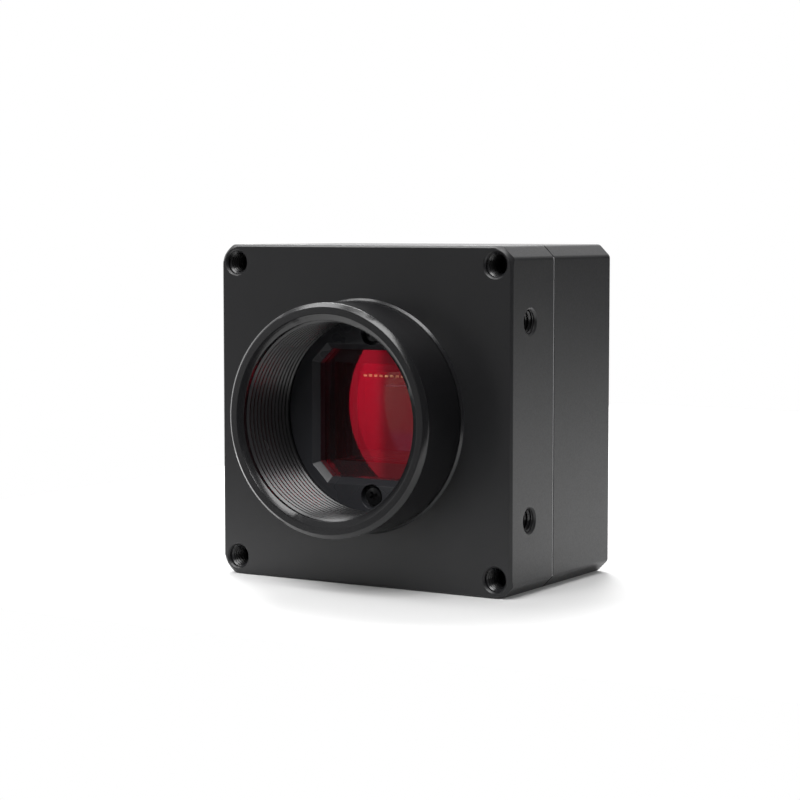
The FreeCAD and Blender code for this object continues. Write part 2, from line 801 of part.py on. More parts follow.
# ---------------------------------------------------------------- sockets on the back
def usb_outline(grow, across, up):
    """Outline of the data socket: a wide tapered part, a waist and a narrow part."""
    half = "({usb_height}/2+(%s))" % grow
    left = "(%s-%s-(%s))" % (across, usb_half_span, grow)
    waist_left = "(%s-%s+{usb_wide}+(%s))" % (across, usb_half_span, grow)
    waist_right = "(%s+%s-{usb_narrow}-(%s))" % (across, usb_half_span, grow)
    right = "(%s+%s+(%s))" % (across, usb_half_span, grow)
    top = "%s+%s" % (up, half)
    bottom = "%s-%s" % (up, half)
    shoulder = "%s-%s+{usb_taper}" % (up, half)
    nick = "%s-%s+{usb_nick}" % (up, half)
    return [(left, shoulder), (left + "+{usb_taper}", bottom), (waist_left + "-{usb_taper}", bottom),
            (waist_left, nick), (waist_right, nick), (waist_right, bottom), (right, bottom),
            (right, top), (left, top)]


def usb_shell():
    """Drawn steel shell of the data socket, from its board to the back wall's face."""
    made = new_body("usb_shell", sockets_at, "-{usb_across}", "-" + usb_down)
    section = sketch_on(made, "usb_section")
    outline(section, usb_outline("0", "0", "0"))
    outline(section, usb_outline("-{usb_sheet}", "0", "0"))
    pad(made, section, back_at + "-" + sockets_at)
    return made


def usb_tongue():
    """Moulded insert: a base that fills the shell and two blades that carry the contacts."""
    made = new_body("usb_tongue", sockets_at, "-{usb_across}", "-" + usb_down)
    base = sketch_on(made, "usb_base")
    outline(base, usb_outline("-{usb_sheet}", "0", "0"))
    pad(made, base, "{usb_floor}")
    blades = sketch_on(made, "usb_blades", "{usb_floor}")
    rectangle(blades, "{usb_wide}-2*({usb_sheet}+{usb_tongue_gap})-{usb_taper}", "{usb_height}/4",
              "-%s+{usb_wide}/2" % usb_half_span, "{usb_height}/8")
    rectangle(blades, "{usb_narrow}-2*({usb_sheet}+{usb_tongue_gap})", "{usb_height}/4",
              "%s-{usb_narrow}/2" % usb_half_span, "{usb_height}/8")
    pad(made, blades, back_at + "-" + sockets_at + "-{usb_floor}-{usb_tongue_sink}")
    return made


def io_shell():
    """Turned shell of the round power and signal socket, with a flange inside the back wall."""
    made = new_body("io_shell", sockets_at, io_across, "-" + io_down)
    wall = "(%s-%s)" % (wall_at, sockets_at)
    end = "(%s-%s+{io_reach})" % (back_at, sockets_at)
    profile = sketch_on(made, "io_profile", "0", "YZ_Plane")
    outline(profile, [
        ("0", "{io_radius}-{io_wall}"),
        ("0", "{io_radius}"),
        (wall + "-{io_flange_thick}", "{io_radius}"),
        (wall + "-{io_flange_thick}", "{io_radius}+{io_flange_lip}"),
        (wall, "{io_radius}+{io_flange_lip}"),
        (wall, "{io_radius}"),
        (end + "-{edge_break}", "{io_radius}"),
        (end, "{io_radius}-{edge_break}"),
        (end, "{io_radius}-{io_wall}"),
    ])
    revolve(made, profile)
    return made


def io_insert():
    """Moulded insert that holds the pins."""
    made = new_body("io_insert", sockets_at, io_across, "-" + io_down)
    disc = sketch_on(made, "insert_disc")
    circle(disc, "{io_radius}-{io_wall}-{slip}")
    count = int(value("{io_pin_count}"))
    for index in range(count):
        turn = "(%d/{io_pin_count}*360)" % index
        circle(disc, "{io_pin_radius}+{slip}/2",
               "{io_pin_circle}*cos(%s*1deg)" % turn, "{io_pin_circle}*sin(%s*1deg)" % turn)
    pad(made, disc, "%s-%s+{io_reach}-{io_insert_sink}" % (back_at, sockets_at))
    return made


def io_pins():
    count = int(value("{io_pin_count}"))
    tips_at = back_at + "+{io_reach}-{io_insert_sink}+{io_pin_show}"
    pins = []
    for index in range(count):
        turn = "(%d/{io_pin_count}*360)" % index
        pins.append(rod("io_pin%d" % (index + 1), "{io_pin_radius}", "{io_pin_length}",
                        tips_at + "-{io_pin_length}",
                        io_across + "+{io_pin_circle}*cos(%s*1deg)" % turn,
                        "-" + io_down + "+{io_pin_circle}*sin(%s*1deg)" % turn))
    return group("io_pins", pins)


def io_nut():
    spot = (back_at, io_across, "-" + io_down)
    blank = hexagon("io_nut_blank", "{io_nut_flats}", "{io_nut_thick}", *spot)
    bore = rod("io_nut_bore", "{io_radius}+{slip}", "{io_nut_thick}", *spot)
    made = less("io_nut", blank, bore)
    made.Label = "io_nut"
    return made


def status_led():
    return solid_block("status_led", "{led_width}", "{led_height}", "{led_thick}", sockets_at,
                       "-{usb_across}", "-" + light_down)


def light_pipe():
    start = "(%s+{led_thick}+{light_gap})" % sockets_at
    made = rod("light_pipe", "{light_radius}", "%s-%s" % (back_at, start), start,
               "-{usb_across}", "-" + light_down)
    made.Label = "light_pipe"
    return made


# ---------------------------------------------------------------- build, check and write
builders = [front_housing, rear_housing, housing_gasket, housing_screws, lens_mount_ring, filter_retainer,
            retainer_screws, filter_glass, filter_gasket, sensor_gasket, sensor_cover_glass, sensor_package,
            sensor_die, bond_pads, sensor_board, board_standoffs, main_board, interface_standoffs,
            interface_board, board_screws, mezzanine_connector, header_connector, processor_chip, thermal_pad,
            memory_chips, power_inductors, usb_shell, usb_tongue, io_shell, io_insert, io_pins, io_nut,
            status_led, light_pipe]
pieces = [build() for build in builders]
doc.recompute()

for item in doc.Objects:
    if "Invalid" in item.State or "Error" in item.State:
        raise ValueError("%s failed: %s" % (item.Name, item.State))
for piece in pieces:
    if piece.Shape.isNull() or not piece.Shape.isValid():
        raise ValueError(piece.Label + " has no valid shape")

os.makedirs("parts", exist_ok=True)
for piece in pieces:
    piece.Shape.exportStep("parts/%s.step" % piece.Label)
    print("%-22s %d solid(s)  %9.2f mm3" % (piece.Label, len(piece.Shape.Solids), piece.Shape.Volume))
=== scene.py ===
import bmesh
import bpy
import json
import math
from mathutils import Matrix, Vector


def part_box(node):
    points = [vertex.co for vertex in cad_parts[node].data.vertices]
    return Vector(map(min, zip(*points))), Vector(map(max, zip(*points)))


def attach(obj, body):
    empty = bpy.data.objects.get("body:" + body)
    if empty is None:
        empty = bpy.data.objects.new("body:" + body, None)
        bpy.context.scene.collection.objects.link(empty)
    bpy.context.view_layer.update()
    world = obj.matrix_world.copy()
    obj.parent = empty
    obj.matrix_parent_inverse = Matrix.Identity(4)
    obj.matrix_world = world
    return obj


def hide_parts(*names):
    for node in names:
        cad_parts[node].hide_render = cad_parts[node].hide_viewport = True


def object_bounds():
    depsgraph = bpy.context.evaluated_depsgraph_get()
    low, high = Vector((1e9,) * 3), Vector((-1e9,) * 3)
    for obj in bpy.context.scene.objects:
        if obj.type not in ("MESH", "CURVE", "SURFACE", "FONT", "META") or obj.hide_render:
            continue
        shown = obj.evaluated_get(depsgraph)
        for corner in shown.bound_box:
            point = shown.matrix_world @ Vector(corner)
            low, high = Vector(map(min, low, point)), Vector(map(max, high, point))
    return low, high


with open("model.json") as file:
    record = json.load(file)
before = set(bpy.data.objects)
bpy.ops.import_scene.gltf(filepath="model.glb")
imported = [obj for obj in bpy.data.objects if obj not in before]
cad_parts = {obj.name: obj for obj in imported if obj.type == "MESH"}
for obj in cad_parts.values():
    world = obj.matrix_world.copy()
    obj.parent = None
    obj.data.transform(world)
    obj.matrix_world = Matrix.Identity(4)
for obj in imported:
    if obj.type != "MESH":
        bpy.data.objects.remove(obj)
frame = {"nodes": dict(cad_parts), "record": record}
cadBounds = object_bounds()
nodes = frame["nodes"]
record = frame["record"]
mountByName = {mount["name"]: mount for mount in record["mounts"]}
slotOfNode = {part["node"]: part["material_slot"] for part in record["subparts"]}
mm = 0.001
white = (1.0, 1.0, 1.0, 1.0)
forwards = Vector((0, -1, 0))     # out of the camera's front face
print("frame loaded:", len(nodes), "nodes")


def startMaterial(name, colour, roughness, metallic=0.0):
    material = bpy.data.materials.new(name)
    material.use_nodes = True
    shader = material.node_tree.nodes["Principled BSDF"]
    shader.inputs["Base Color"].default_value = (*colour, 1.0)
    shader.inputs["Roughness"].default_value = roughness
    shader.inputs["Metallic"].default_value = metallic
    material.diffuse_color = (*colour, 1.0)
    return material, material.node_tree, shader


def addNode(tree, kind, settings=None, **inputs):
    node = tree.nodes.new(kind)
    for name, setting in (settings or {}).items():
        setattr(node, name, setting)
    for name, setting in inputs.items():
        node.inputs[name].default_value = setting
    return node


def noiseOn(tree, scale, detail=3.0, stretch=None):
    coordinates = addNode(tree, "ShaderNodeTexCoord")
    noise = addNode(tree, "ShaderNodeTexNoise", Scale=scale, Detail=detail)
    source = coordinates.outputs["Object"]
    if stretch:
        mapping = addNode(tree, "ShaderNodeMapping", Scale=stretch)
        tree.links.new(source, mapping.inputs["Vector"])
        source = mapping.outputs["Vector"]
    tree.links.new(source, noise.inputs["Vector"])
    return noise


def addBump(tree, shader, height, strength, distance, under=None):
    bump = addNode(tree, "ShaderNodeBump", Strength=strength, Distance=distance)
    tree.links.new(height, bump.inputs["Height"])
    if under:
        tree.links.new(under.outputs["Normal"], bump.inputs["Normal"])
    tree.links.new(bump.outputs["Normal"], shader.inputs["Normal"])
    return bump


def rangeOf(tree, source, low, high, fromLow=0.3, fromHigh=0.7):
    mapRange = addNode(tree, "ShaderNodeMapRange")
    for name, number in (("From Min", fromLow), ("From Max", fromHigh),
                         ("To Min", low), ("To Max", high)):
        mapRange.inputs[name].default_value = number
    tree.links.new(source, mapRange.inputs["Value"])
    return mapRange.outputs["Result"]


def colourSocket(sockets, name):
    return next(socket for socket in sockets if socket.name == name and socket.type == "RGBA")


def blendColours(tree, factor, first, second):
    # first and second are colours, or outputs that give one
    mix = addNode(tree, "ShaderNodeMix", {"data_type": "RGBA"})
    for name, colour in (("A", first), ("B", second)):
        socket = colourSocket(mix.inputs, name)
        if isinstance(colour, tuple):
            socket.default_value = (*colour, 1.0)
        else:
            tree.links.new(colour, socket)
    tree.links.new(factor, mix.inputs["Factor"])
    return colourSocket(mix.outputs, "Result")


def mathNode(tree, operation, first, second=None):
    node = addNode(tree, "ShaderNodeMath", {"operation": operation})
    for index, source in enumerate((first, second)):
        if source is None:
            continue
        if isinstance(source, (int, float)):
            node.inputs[index].default_value = source
        else:
            tree.links.new(source, node.inputs[index])
    return node.outputs["Value"]


def blastedAnodise(name, dark, pale, roughness):
    # fine bead-blasted aluminium under a black anodised layer, faintly cloudy
    blast = {"grain": 5200.0, "cloud": 160.0, "bump": 0.10, "pit": 0.02 * mm,
             "glossier": 0.05, "duller": 0.06}
    material, tree, shader = startMaterial(name, dark, roughness)
    fine = noiseOn(tree, blast["grain"], detail=2.0)
    cloud = noiseOn(tree, blast["cloud"], detail=4.0)
    tree.links.new(blendColours(tree, rangeOf(tree, cloud.outputs["Fac"], 0, 1), dark, pale),
                   shader.inputs["Base Color"])
    tree.links.new(rangeOf(tree, fine.outputs["Fac"], roughness - blast["glossier"],
                           roughness + blast["duller"]), shader.inputs["Roughness"])
    addBump(tree, shader, fine.outputs["Fac"], blast["bump"], blast["pit"])
    return material


def turnedAnodise(name, dark, roughness):
    # lathe marks: fine rings about the optical axis, on the flats as on the walls
    lathe = {"groove": 0.11 * mm, "grooveBump": 0.12, "grain": 6000.0, "grainBump": 0.05,
             "relief": 0.004 * mm, "glossier": 0.04, "duller": 0.05}
    material, tree, shader = startMaterial(name, dark, roughness)
    coordinates = addNode(tree, "ShaderNodeTexCoord")
    apart = addNode(tree, "ShaderNodeSeparateXYZ")
    tree.links.new(coordinates.outputs["Object"], apart.inputs["Vector"])
    across = mathNode(tree, "MULTIPLY", apart.outputs["X"], apart.outputs["X"])
    up = mathNode(tree, "MULTIPLY", apart.outputs["Z"], apart.outputs["Z"])
    radius = mathNode(tree, "SQRT", mathNode(tree, "ADD", across, up))
    along = mathNode(tree, "ADD", radius, apart.outputs["Y"])
    wave = mathNode(tree, "SINE", mathNode(tree, "MULTIPLY", along, math.tau / lathe["groove"]))
    under = addBump(tree, shader, wave, lathe["grooveBump"], lathe["relief"])
    fine = noiseOn(tree, lathe["grain"], detail=2.0)
    addBump(tree, shader, fine.outputs["Fac"], lathe["grainBump"], lathe["relief"], under)
    tree.links.new(rangeOf(tree, fine.outputs["Fac"], roughness - lathe["glossier"],
                           roughness + lathe["duller"]), shader.inputs["Roughness"])
    return material


def speckled(name, colour, other, roughness, scale, metallic=0.0, bump=0.1):
    # moulded, pressed or plated parts: a little variation of colour and gloss
    speck = {"glossRange": 0.04, "relief": 0.01 * mm}
    material, tree, shader = startMaterial(name, colour, roughness, metallic)
    noise = noiseOn(tree, scale)
    tree.links.new(blendColours(tree, rangeOf(tree, noise.outputs["Fac"], 0, 1), colour, other),
                   shader.inputs["Base Color"])
    tree.links.new(rangeOf(tree, noise.outputs["Fac"], roughness - speck["glossRange"],
                           roughness + speck["glossRange"]), shader.inputs["Roughness"])
    addBump(tree, shader, noise.outputs["Fac"], bump, speck["relief"])
    return material


def coatedGlass(name, reflected, share, other=None, haze=0.0):
    # a thin coating: it mirrors its own colour and lets the rest through
    coating = {"roughness": 0.02, "hazeRoughness": 0.65, "cloud": 120.0,
               "clearest": 0.015, "dullest": 0.03}
    material, tree, shader = startMaterial(name, reflected, coating["roughness"], 1.0)
    shader.inputs["Alpha"].default_value = share
    shader.inputs["Coat Weight"].default_value = haze
    shader.inputs["Coat Roughness"].default_value = coating["hazeRoughness"]
    cloud = noiseOn(tree, coating["cloud"], detail=2.0)
    tree.links.new(blendColours(tree, rangeOf(tree, cloud.outputs["Fac"], 0, 1),
                                reflected, other or reflected), shader.inputs["Base Color"])
    tree.links.new(rangeOf(tree, cloud.outputs["Fac"], coating["clearest"], coating["dullest"]),
                   shader.inputs["Roughness"])
    return material


def sensorSilicon(name):
    # light-sensitive field, a bright contact line along its top and bare circuits below it
    field = {"top": 3.40 * mm, "bottom": -2.75 * mm, "bottomBlur": 0.4 * mm, "second": 2.7 * mm,
             "line": 0.17 * mm, "lineStart": -1.8 * mm, "startBlur": 0.1 * mm,
             "grain": 4000.0, "speckShare": 0.12, "roughness": 0.07}
    tones = {"plain": (0.5, 0.4, 0.3), "low": (0.36, 0.31, 0.26), "high": (0.56, 0.44, 0.36),
             "circuits": (0.22, 0.22, 0.38), "topLine": (1.0, 0.96, 1.0),
             "secondLine": (0.30, 0.46, 0.33), "specks": (0.1, 0.1, 0.1)}
    material, tree, shader = startMaterial(name, tones["plain"], field["roughness"], 1.0)
    coordinates = addNode(tree, "ShaderNodeTexCoord")
    apart = addNode(tree, "ShaderNodeSeparateXYZ")
    tree.links.new(coordinates.outputs["Object"], apart.inputs["Vector"])
    up = apart.outputs["Z"]
    below = rangeOf(tree, up, 1, 0, field["bottom"] - field["bottomBlur"],
                    field["bottom"] + field["bottomBlur"])
    fade = rangeOf(tree, up, 0, 1, field["bottom"], field["top"])
    colour = blendColours(tree, fade, tones["low"], tones["high"])
    colour = blendColours(tree, below, colour, tones["circuits"])
    along = rangeOf(tree, apart.outputs["X"], 0, 1, field["lineStart"] - field["startBlur"],
                    field["lineStart"] + field["startBlur"])
    for place, tone in (("top", "topLine"), ("second", "secondLine")):
        nearness = mathNode(tree, "ABSOLUTE", mathNode(tree, "SUBTRACT", up, field[place]))
        onLine = rangeOf(tree, nearness, 1, 0, field["line"] * 0.5, field["line"])
        marked = mathNode(tree, "MULTIPLY", onLine, along)
        colour = blendColours(tree, marked, colour, tones[tone])
        if place == "top":
            tree.links.new(mathNode(tree, "SUBTRACT", 1.0, marked), shader.inputs["Metallic"])
    grain = noiseOn(tree, field["grain"], detail=2.0)
    tree.links.new(blendColours(tree, rangeOf(tree, grain.outputs["Fac"], 0.0, field["speckShare"]),
                                colour, tones["specks"]), shader.inputs["Base Color"])
    return material


def circuitBoard(name):
    # solder mask over a fine pattern of copper
    mask = {"cells": 900.0, "edge": (0.2, 0.6), "plain": (0.01, 0.09, 0.04),
            "low": (0.008, 0.07, 0.03), "high": (0.02, 0.16, 0.07),
            "roughness": 0.35, "bump": 0.2, "relief": 0.02 * mm}
    material, tree, shader = startMaterial(name, mask["plain"], mask["roughness"])
    coordinates = addNode(tree, "ShaderNodeTexCoord")
    cells = addNode(tree, "ShaderNodeTexVoronoi", {"distance": "MANHATTAN"}, Scale=mask["cells"])
    tree.links.new(coordinates.outputs["Object"], cells.inputs["Vector"])
    tree.links.new(blendColours(tree, rangeOf(tree, cells.outputs["Distance"], 0, 1, *mask["edge"]),
                                mask["low"], mask["high"]), shader.inputs["Base Color"])
    addBump(tree, shader, cells.outputs["Distance"], mask["bump"], mask["relief"])
    return material


# one finish for each slot of the part, and one for the threads
finishes = {
    "case_black": blastedAnodise("blackBlastedCase", (0.0062, 0.0062, 0.0070),
                                 (0.0078, 0.0078, 0.0088), roughness=0.40),
    "ring_black": turnedAnodise("blackTurnedRing", (0.0060, 0.0060, 0.0068), roughness=0.21),
    "thread_black": speckled("blackThread", (0.0140, 0.0140, 0.0152), (0.0160, 0.0160, 0.0172),
                             roughness=0.24, scale=90.0, bump=0.0),
    "retainer_black": speckled("satinBlackRetainer", (0.0310, 0.0318, 0.0360),
                               (0.0318, 0.0326, 0.0368), roughness=0.29, scale=90.0, bump=0.0),
    "black_steel": speckled("blackOxideSteel", (0.012, 0.012, 0.013), (0.018, 0.018, 0.019),
                            roughness=0.14, scale=2500.0, metallic=0.5),
    "case_seal": speckled("greySeal", (0.42, 0.42, 0.43), (0.5, 0.5, 0.51),
                          roughness=0.6, scale=1800.0),
    "filter_red": coatedGlass("redMirrorFilter", (0.90, 0.016, 0.050), share=0.36,
                              other=(0.86, 0.012, 0.045), haze=0.7),
    "foam": speckled("blackFoam", (0.045, 0.050, 0.055), (0.060, 0.065, 0.072),
                     roughness=0.9, scale=3500.0, bump=0.6),
    "cover_glass": coatedGlass("sensorCoverGlass", (0.55, 0.60, 0.70), share=0.04),
    "ceramic": speckled("darkCeramic", (0.075, 0.090, 0.100), (0.090, 0.107, 0.118),
                        roughness=0.55, scale=1500.0),
    "silicon": sensorSilicon("polishedSilicon"),
    "gold": speckled("platedGold", (0.98, 0.76, 0.34), (1.0, 0.80, 0.40),
                     roughness=0.32, scale=900.0, metallic=1.0),
    "board": circuitBoard("solderMask"),
    "connector_black": speckled("mouldedConnector", (0.015, 0.015, 0.016), (0.022, 0.022, 0.023),
                                roughness=0.45, scale=1600.0),
    "chip_black": speckled("mouldedChip", (0.02, 0.02, 0.022), (0.03, 0.03, 0.032),
                           roughness=0.6, scale=3000.0),
    "thermal_gum": speckled("thermalGum", (0.30, 0.36, 0.48), (0.34, 0.40, 0.52),
                            roughness=0.8, scale=900.0),
    "ferrite": speckled("pressedFerrite", (0.08, 0.08, 0.085), (0.12, 0.12, 0.125),
                        roughness=0.6, scale=1500.0),
    "spacer_metal": speckled("nickelSpacer", (0.66, 0.62, 0.55), (0.72, 0.68, 0.6),
                             roughness=0.28, scale=800.0, metallic=1.0),
    "bright_steel": speckled("platedSteel", (0.60, 0.60, 0.61), (0.66, 0.66, 0.67),
                             roughness=0.27, scale=900.0, metallic=1.0),
    "socket_metal": speckled("nickelSocket", (0.55, 0.54, 0.52), (0.62, 0.61, 0.58),
                             roughness=0.3, scale=900.0, metallic=1.0),
    "led_body": speckled("lampBody", (0.80, 0.80, 0.72), (0.86, 0.86, 0.8),
                         roughness=0.4, scale=1200.0),
    "light_pipe": speckled("lightPipe", (0.62, 0.70, 0.66), (0.66, 0.74, 0.70),
                           roughness=0.12, scale=300.0),
}
for nodeName, nodeObject in nodes.items():
    nodeObject.data.materials.clear()
    nodeObject.data.materials.append(finishes[slotOfNode[nodeName]])
print("finishes:", len(finishes))


# edges that turn more than this stay sharp in the shading
sharpFrom = {"grown": math.radians(32), "turned": math.radians(25), "screw": math.radians(28)}


def link(item):
    bpy.context.scene.collection.objects.link(item)
    return item


def evaluatedMesh(source, name):
    # what the modifiers of the source give, as a plain mesh; the source is removed
    depsgraph = bpy.context.evaluated_depsgraph_get()
    mesh = bpy.data.meshes.new_from_object(source.evaluated_get(depsgraph), depsgraph=depsgraph)
    mesh.name = name
    bpy.data.objects.remove(source)
    return mesh


def addPiece(name, mesh):
    piece = link(bpy.data.objects.new(name, mesh))
    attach(piece, "root")
    return piece


def meshFrom(shape, name):
    # hands a shape over to a new mesh, with its faces pointing outwards
    bmesh.ops.recalc_face_normals(shape, faces=shape.faces)
    mesh = bpy.data.meshes.new(name)
    shape.to_mesh(mesh)
    shape.free()
    return mesh


def roundFrontCorners(shape, box, size):
    # the front edge is broken round the four corner holes by a few slanting cuts each
    front, reach = box[0][1], box[1][0] - size["inset"]
    for sideways in (-1, 1):
        for upwards in (-1, 1):
            for turn in size["turns"]:
                angle = math.radians(turn)
                across = Vector((sideways * math.cos(angle), 0, upwards * math.sin(angle)))
                start = Vector((sideways * reach, front, upwards * reach)) + across * size["radius"]
                everything = list(shape.verts) + list(shape.edges) + list(shape.faces)
                cut = bmesh.ops.bisect_plane(shape, geom=everything, dist=size["tolerance"],
                                             plane_co=start, plane_no=across + forwards,
                                             clear_outer=True)
                rim = [item for item in cut["geom_cut"] if isinstance(item, bmesh.types.BMEdge)]
                bmesh.ops.edgeloop_fill(shape, edges=rim)
    bmesh.ops.recalc_face_normals(shape, faces=shape.faces)


def machinedSkin(name, sizes):
    # the solid with a fine radius along every sharp edge and true flats
    skin = {"merge": 2e-7, "flat": math.radians(0.4), "sharp": math.radians(24),
            "segments": 2, "flatWeight": 80}
    nodeName = sizes["node"]
    mesh = nodes[nodeName].data.copy()
    shape = bmesh.new()
    shape.from_mesh(mesh)
    bmesh.ops.remove_doubles(shape, verts=shape.verts, dist=skin["merge"])
    if "cornerBreak" in sizes:
        roundFrontCorners(shape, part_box(nodeName), sizes["cornerBreak"])
    bmesh.ops.dissolve_limit(shape, angle_limit=skin["flat"], verts=shape.verts, edges=shape.edges)
    for face in shape.faces:
        face.smooth = True
    shape.to_mesh(mesh)
    shape.free()
    source = link(bpy.data.objects.new(name + "Source", mesh))
    bevel = source.modifiers.new("edges", "BEVEL")
    bevel.width = sizes["edge"]
    bevel.segments = skin["segments"]
    bevel.limit_method = "ANGLE"
    bevel.angle_limit = skin["sharp"]
    bevel.use_clamp_overlap = True
    flats = source.modifiers.new("flats", "WEIGHTED_NORMAL")
    flats.mode = "FACE_AREA"
    flats.weight = skin["flatWeight"]
    piece = addPiece(name, evaluatedMesh(source, name))
    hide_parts(nodeName)


def startTree(name, sizes):
    # a tree with a mesh input and one named input for each size
    socketKinds = {int: "NodeSocketInt", float: "NodeSocketFloat",
                   bpy.types.Material: "NodeSocketMaterial", bpy.types.Object: "NodeSocketObject"}
    tree = bpy.data.node_groups.new(name, "GeometryNodeTree")
    tree.interface.new_socket("Geometry", in_out="INPUT", socket_type="NodeSocketGeometry")
    for label, size in sizes.items():
        socket = tree.interface.new_socket(label, in_out="INPUT", socket_type=socketKinds[type(size)])
        socket.default_value = size
    tree.interface.new_socket("Geometry", in_out="OUTPUT", socket_type="NodeSocketGeometry")
    return tree, addNode(tree, "NodeGroupInput"), addNode(tree, "NodeGroupOutput")


def endTree(tree, geometry, given, result):
    realize = addNode(tree, "GeometryNodeRealizeInstances")
    paint = addNode(tree, "GeometryNodeSetMaterial")
    tree.links.new(geometry, realize.inputs["Geometry"])
    tree.links.new(realize.outputs["Geometry"], paint.inputs["Geometry"])
    tree.links.new(given.outputs["Finish"], paint.inputs["Material"])
    tree.links.new(paint.outputs["Geometry"], result.inputs[0])


def grow(name, tree, mesh, sizes):
    # run a tree on a start mesh with these sizes and keep the plain result
    source = link(bpy.data.objects.new(name + "Source", mesh))
    modifier = source.modifiers.new("grow", "NODES")
    modifier.node_group = tree
    identifiers = {item.name: item.identifier for item in tree.interface.items_tree
                   if item.in_out == "INPUT" and item.name != "Geometry"}
    for label, size in sizes.items():
        modifier[identifiers[label]] = size
    piece = addPiece(name, evaluatedMesh(source, name))
    piece.data.set_sharp_from_angle(angle=sharpFrom["grown"])
    return piece


def aimedOutwards(tree):
    # turns a copy's +Z towards the direction that its start point carries
    direction = addNode(tree, "GeometryNodeInputNamedAttribute", {"data_type": "FLOAT_VECTOR"},
                        Name="outward")
    aim = addNode(tree, "FunctionNodeAlignRotationToVector", {"axis": "Z"})
    tree.links.new(direction.outputs["Attribute"], aim.inputs["Vector"])
    return aim.outputs["Rotation"]


def threadTree(sizes):
    # a helical ridge on the wall of a hole: one for every start point, along the point's direction
    section = {"beyondWall": 0.01 * mm, "foot": 0.99, "thinnest": 0.02}
    tree, given, result = startTree("threadRidge", sizes)
    links = tree.links
    pitch, ridge = given.outputs["Pitch"], given.outputs["Ridge"]
    rise = mathNode(tree, "SUBTRACT", given.outputs["Length"], pitch)
    turns = mathNode(tree, "DIVIDE", rise, pitch)
    outside = mathNode(tree, "ADD", given.outputs["Wall Radius"], section["beyondWall"])
    spiral = addNode(tree, "GeometryNodeCurveSpiral", Reverse=True)  # a right-handed thread
    for label, source in (("Resolution", given.outputs["Steps"]), ("Rotations", turns),
                          ("Start Radius", outside), ("End Radius", outside), ("Height", rise)):
        links.new(source, spiral.inputs[label])
    upright = addNode(tree, "GeometryNodeSetCurveNormal", {"mode": "Z_UP"})
    links.new(spiral.outputs["Curve"], upright.inputs["Curve"])

    # section of the ridge: wide on the wall, narrow at the crest
    outline = addNode(tree, "GeometryNodeCurvePrimitiveQuadrilateral", {"mode": "TRAPEZOID"}, Offset=0.0)
    links.new(ridge, outline.inputs["Height"])
    links.new(mathNode(tree, "MULTIPLY", pitch, section["foot"]), outline.inputs["Bottom Width"])
    links.new(given.outputs["Crest"], outline.inputs["Top Width"])
    lift = addNode(tree, "ShaderNodeCombineXYZ")
    links.new(mathNode(tree, "MULTIPLY", ridge, 0.5), lift.inputs["Y"])
    seated = addNode(tree, "GeometryNodeTransform")
    links.new(outline.outputs["Curve"], seated.inputs["Geometry"])
    links.new(lift.outputs["Vector"], seated.inputs["Translation"])
    inwards = addNode(tree, "GeometryNodeTransform", Rotation=(0.0, 0.0, math.radians(90)))
    links.new(seated.outputs["Geometry"], inwards.inputs["Geometry"])

    # the ridge fades out over the first and last part of a turn
    along = addNode(tree, "GeometryNodeSplineParameter")
    fromStart = mathNode(tree, "MULTIPLY", along.outputs["Factor"], turns)
    fromEnd = mathNode(tree, "SUBTRACT", turns, fromStart)
    nearest = mathNode(tree, "MINIMUM", fromStart, fromEnd)
    faded = mathNode(tree, "DIVIDE", nearest, given.outputs["Fade"])
    limited = mathNode(tree, "MINIMUM", mathNode(tree, "MAXIMUM", faded, section["thinnest"]), 1.0)
    sweep = addNode(tree, "GeometryNodeCurveToMesh", **{"Fill Caps": True})
    links.new(upright.outputs["Curve"], sweep.inputs["Curve"])
    links.new(inwards.outputs["Geometry"], sweep.inputs["Profile Curve"])
    links.new(limited, sweep.inputs["Scale"])

    # into the hole: the start points' directions point out of the mouth
    sunk = mathNode(tree, "ADD", given.outputs["Start"], mathNode(tree, "MULTIPLY", pitch, 0.5))
    depth = addNode(tree, "ShaderNodeCombineXYZ")
    links.new(mathNode(tree, "MULTIPLY", mathNode(tree, "ADD", sunk, rise), -1.0), depth.inputs["Z"])
    placed = addNode(tree, "GeometryNodeTransform")
    links.new(sweep.outputs["Mesh"], placed.inputs["Geometry"])
    links.new(depth.outputs["Vector"], placed.inputs["Translation"])
    spread = addNode(tree, "GeometryNodeInstanceOnPoints")
    links.new(given.outputs["Geometry"], spread.inputs["Points"])
    links.new(placed.outputs["Geometry"], spread.inputs["Instance"])
    links.new(aimedOutwards(tree), spread.inputs["Rotation"])
    endTree(tree, spread.outputs["Instances"], given, result)
    return tree


def turned(name, profile, steps):
    # a closed profile of (radius, y) carried round the optical axis
    shape = bmesh.new()
    rings = []
    for index in range(steps):
        angle = math.tau * index / steps
        rings.append([shape.verts.new((radius * math.cos(angle), y, radius * math.sin(angle)))
                      for radius, y in profile])
    for index in range(steps):
        here, after = rings[index], rings[(index + 1) % steps]
        for corner in range(len(profile)):
            nextCorner = (corner + 1) % len(profile)
            face = shape.faces.new((here[corner], here[nextCorner], after[nextCorner], after[corner]))
            face.smooth = True
    mesh = meshFrom(shape, name)
    mesh.set_sharp_from_angle(angle=sharpFrom["turned"])
    return addPiece(name, mesh)


